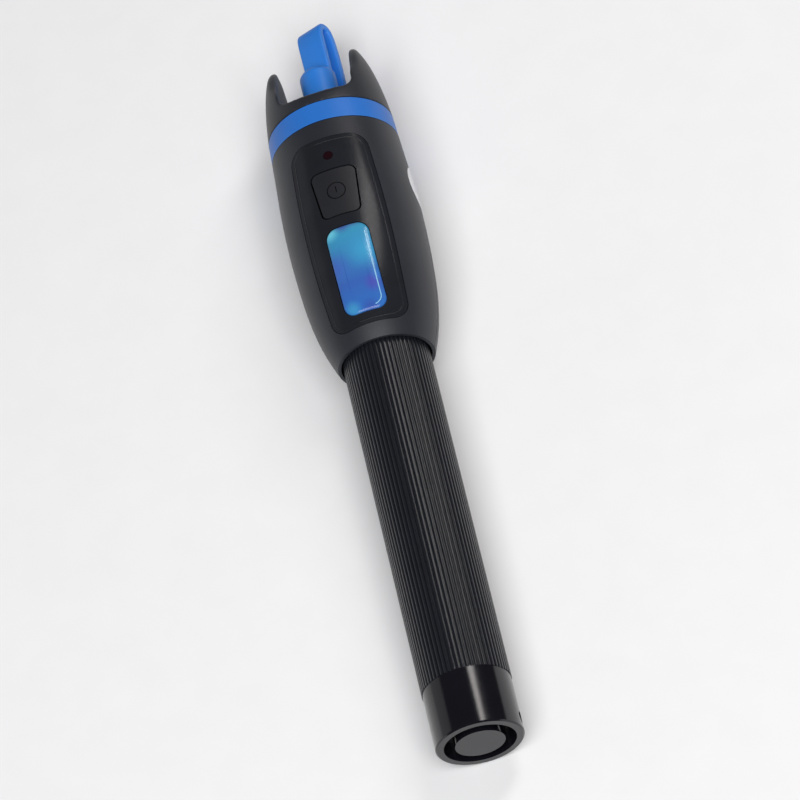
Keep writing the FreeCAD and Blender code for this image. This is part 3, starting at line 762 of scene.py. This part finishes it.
def add_plate_highlight(material):
    """A painted highlight: a light bead where the dome's edge turns down, along the right side and round the
    tail corner.
    """
    start, end, half, corner = PLATE
    face = plate_face()
    x, bend = half - PLATE_LINE, corner - PLATE_LINE / 2
    top, low = end - corner, start + PLATE_LINE + bend
    straight = [(x, top + (low - top) * n / 20) for n in range(20)]
    line = [face(*place, PLATE_LINE_SINK) for place in straight + arc((x - bend, low), bend, 0, -80, 10)]
    form = bead(line, *PLATE_BEAD, loop=False)
    make_piece("nameplate_painted_highlight", form, material, "nameplate")


def add_panel_line(material):
    """The fine ridge where the panel's edge bevel begins."""
    start, end, half_tail, half_middle, half_nose, corner = PANEL
    start, end, corner = start + PANEL_BEVEL, end - PANEL_BEVEL, corner - PANEL_BEVEL

    def half_at(station):
        """A bow through the three half widths."""
        if station < PANEL_MIDDLE:
            reach, outer = PANEL_MIDDLE - start, half_tail
        else:
            reach, outer = end - PANEL_MIDDLE, half_nose
        share = (station - PANEL_MIDDLE) / reach
        return half_middle - (half_middle - outer) * share * share - PANEL_BEVEL

    top = top_of("control_panel")
    line = [top(x, station) for x, station in rounded_outline(half_at, start, end, corner, corner_steps=16)]
    make_piece("panel_edge_line", bead(line, *PANEL_BEAD), material, "control_panel")


def add_button_mark(material):
    """Painted shade in the button's engraved round mark: a dark line in its groove, and the bar inside the
    ring.
    """
    top = top_of("power_button")
    ring = []
    for turn in turns(MARK_SIDES):
        outer, inner = (top(reach * math.cos(turn), MARK_STATION + reach * math.sin(turn))
                        for reach in (MARK_RADIUS + MARK_CLEAR, MARK_RADIUS - MARK_CLEAR))
        ring.append((outer + inner) / 2 - Vector((0, 0, MARK_SINK)))
    make_piece("button_mark_ring", bead(ring, *MARK_BEAD), material, "power_button")
    first, last = MARK_BAR
    bar = [top(0.0, first + (last - first) * n / 8) for n in range(9)]
    form = bead(bar, *BAR_BEAD, loop=False)
    make_piece("button_mark_bar", form, material, "power_button")


def add_label(material):
    """The round blank label on the right side, laid on the barrel's curve."""
    side = cad_surface("rear_shell")
    places = []
    for station in (LABEL_STATION - LABEL_RADIUS, LABEL_STATION, LABEL_STATION + LABEL_RADIUS):
        hit = side.ray_cast(Vector((OUTSIDE, station, LABEL_LEVEL)), Vector((-1, 0, 0)))[0]
        places.append((station, math.hypot(hit.x, hit.z)))
    barrel_radius = through_three(places)

    def laid(reach, turn, lift):
        """A place on the label, this far from its middle and above the barrel."""
        station = LABEL_STATION + reach * math.sin(turn)
        radius = barrel_radius(station)
        angle = math.radians(LABEL_ANGLE) + reach * math.cos(turn) / radius
        return ((radius + lift) * math.sin(angle), station, (radius + lift) * math.cos(angle))

    steps = [(LABEL_RADIUS, 0.0), (LABEL_RADIUS, LABEL_THICK * 0.8), (LABEL_RADIUS - LABEL_EDGE, LABEL_THICK)]
    steps += [(LABEL_RADIUS * n / 6, LABEL_THICK) for n in (5, 4, 3, 2, 1)]
    rings = [[laid(reach, turn, lift) for turn in turns(LABEL_SIDES)] for reach, lift in steps]
    label = make_piece("blank_round_label", skin(rings), material, "side_label")
    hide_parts("side_label")


def add_ring_lines(material):
    """Painted shade in the thin gaps at both edges of the blue ring: a near-black band over each seam."""
    top = top_of("accent_ring")
    for name, station, inwards in RING_EDGES:
        radius = top(0.0, station + inwards * GAP_FOOT).z
        outline = [(radius - GAP_DEPTH, station - GAP_FOOT), (radius + GAP_PROUD, station - GAP_TOP),
                   (radius + GAP_PROUD, station + GAP_TOP), (radius - GAP_DEPTH, station + GAP_FOOT)]
        make_piece(name, lathe(outline, RING_SIDES), material, "accent_ring")


def add_thread(material):
    """The thread of the tail cap's neck, hidden until the cap is unscrewed."""
    rounds = (THREAD_END - THREAD_START) / THREAD_STEP
    steps = int(rounds * THREAD_SIDES)
    rings = []
    for step in range(steps + 1):
        turn = 2 * math.pi * rounds * step / steps
        middle = THREAD_START + THREAD_STEP * rounds * step / steps
        fade = min(1.0, step / THREAD_FADE, (steps - step) / THREAD_FADE)
        foot, crest = THREAD_RADIUS - THREAD_SINK, THREAD_RADIUS + THREAD_PROUD * fade
        section = ((foot, -THREAD_HALF), (crest, 0.0), (foot, THREAD_HALF))
        rings.append([(radius * math.sin(turn), middle + along, radius * math.cos(turn))
                      for radius, along in section])
    make_piece("neck_thread", skin(rings), material, "tail_cap")


def add_fine_pieces(materials):
    """What stands for a CAD node's finer form, and the fine lines on the others, among them a painted
    highlight on the nameplate and painted shade in the ring's gaps and the button's mark.
    """
    # painted shade, for the ring's gaps and the button's engraved mark
    shadow = moulded("gap_shadow", rgb(0.002, 0.002, 0.003), 0.5, Specular_IOR_Level=0.1)
    # painted highlight along the nameplate's rolled edge
    painted_highlight = moulded("plate_painted_highlight", rgb(0.30, 0.62, 0.84), 0.2, depth=0.002)
    add_dust_cap(materials["cap_blue"])
    add_nose_guard(materials["soft_black"])
    add_nameplate(materials["plate_blue"])
    add_plate_highlight(painted_highlight)
    add_label(materials["label_white"])
    add_ring_lines(shadow)
    add_panel_line(materials["gloss_black"])
    add_button_mark(shadow)
    add_thread(materials["cap_black"])


bpy.context.scene.view_settings.view_transform = "Standard"
materials = outer_finishes() | inner_finishes()
add_studio()
dress_nodes(materials)
add_fine_pieces(materials)
